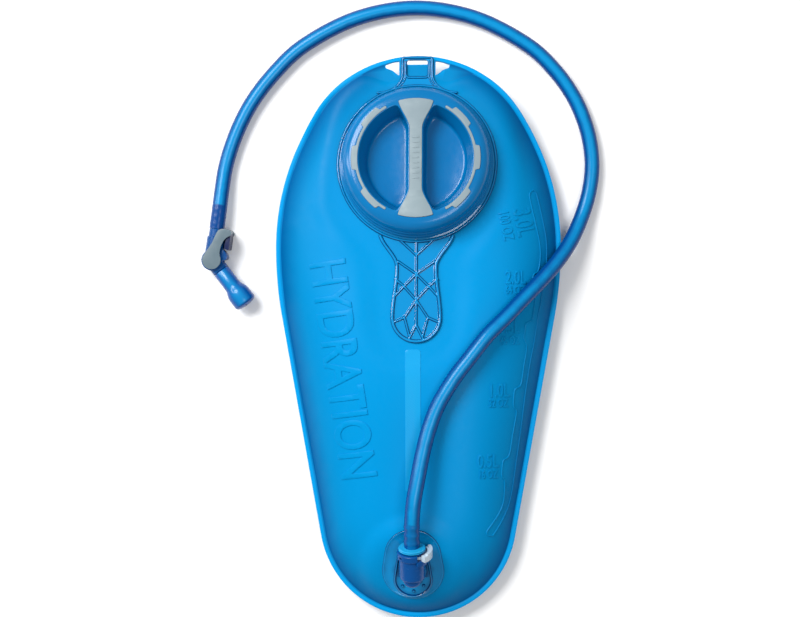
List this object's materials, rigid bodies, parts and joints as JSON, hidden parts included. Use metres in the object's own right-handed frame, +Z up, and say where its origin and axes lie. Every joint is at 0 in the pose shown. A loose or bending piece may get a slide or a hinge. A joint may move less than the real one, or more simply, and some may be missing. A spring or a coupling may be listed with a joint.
{
  "type": "hydration bladder",
  "caption": "Film hydration bladder with a quarter-turn filling lid, clear hanger and handle, quick-connect outlet and a drink tube with a shut-off bite valve.",
  "frame": {"origin": "under the middle of the welded bladder, on the surface that its back lies on", "axes": "+Z up out of the front film, +Y from the outlet towards the hanger, +X to the right when looking down with the hanger at the top"},
  "size_m": [0.2787, 0.4318, 0.0603],
  "materials": {
    "film": "clear glossy tinted film",
    "clear_moulding": "clear glossy moulding",
    "neck": "smooth translucent moulding",
    "lid": "satin moulded plastic",
    "grip": "soft matt overmoulding",
    "seal": "soft silicone",
    "dark_seal": "rubber o-ring",
    "socket": "glossy moulded plastic",
    "plug": "glossy moulded plastic",
    "spring": "spring steel wire",
    "tube": "smooth translucent tube",
    "valve": "glossy moulded plastic",
    "lever": "satin moulded plastic",
    "inner": "smooth moulded plastic",
    "mouthpiece": "translucent silicone"
  },
  "bodies": {
    "bladder": {"front_panel": "film", "back_panel": "film", "centre_baffle": "film", "handle_frame": "clear_moulding", "port_neck": "neck", "outlet_patch": "film", "outlet_port": "clear_moulding", "socket_body": "socket", "latch_spring": "spring", "poppet_spring": "spring"},
    "lid_seal": {"lid_gasket": "seal"},
    "lid": {"lid_shell": "lid", "grip_bar": "grip", "left_grip_band": "grip", "right_grip_band": "grip"},
    "latch": {"latch_button": "lever"},
    "check": {"check_poppet": "inner", "poppet_seal": "dark_seal"},
    "hose": {"drink_tube": "tube", "plug_adapter": "plug", "plug_oring": "dark_seal", "valve_body": "valve", "bite_valve": "mouthpiece"},
    "shutoff": {"shutoff_lever": "lever", "valve_spool": "inner", "spool_seals": "dark_seal"}
  },
  "joints": [
    {"name": "lid_lift", "type": "slide", "parent": "bladder", "child": "lid_seal", "axis": [0, 0.1132, 0.9936], "range_m": [0, 0.09]},
    {"name": "lid_turn", "type": "hinge", "parent": "lid_seal", "child": "lid", "pos_m": [0, 0.12, 0.027], "axis": [0, 0.1132, 0.9936], "range_deg": [0, 90]},
    {"name": "button_press", "type": "slide", "parent": "bladder", "child": "latch", "axis": [-1, 0, 0], "range_m": [0, 0.0024], "stiffness_N_per_m": 500, "deforming": ["latch_spring"]},
    {"name": "hose_unplug", "type": "slide", "parent": "bladder", "child": "hose", "axis": [0, 0.9455, 0.3256], "range_m": [0, 0.024]},
    {"name": "check_close", "type": "slide", "parent": "bladder", "child": "check", "axis": [0, 0.9455, 0.3256], "range_m": [0, 0.00192], "deforming": ["poppet_spring"]},
    {"name": "lever_turn", "type": "hinge", "parent": "hose", "child": "shutoff", "pos_m": [-0.1445, 0.054, 0.0088], "axis": [0, 0, 1], "range_deg": [-55, 0]}
  ],
  "couplings": [
    {"joint": "check_close", "follows": "hose_unplug", "ratio": 0.08}
  ]
}
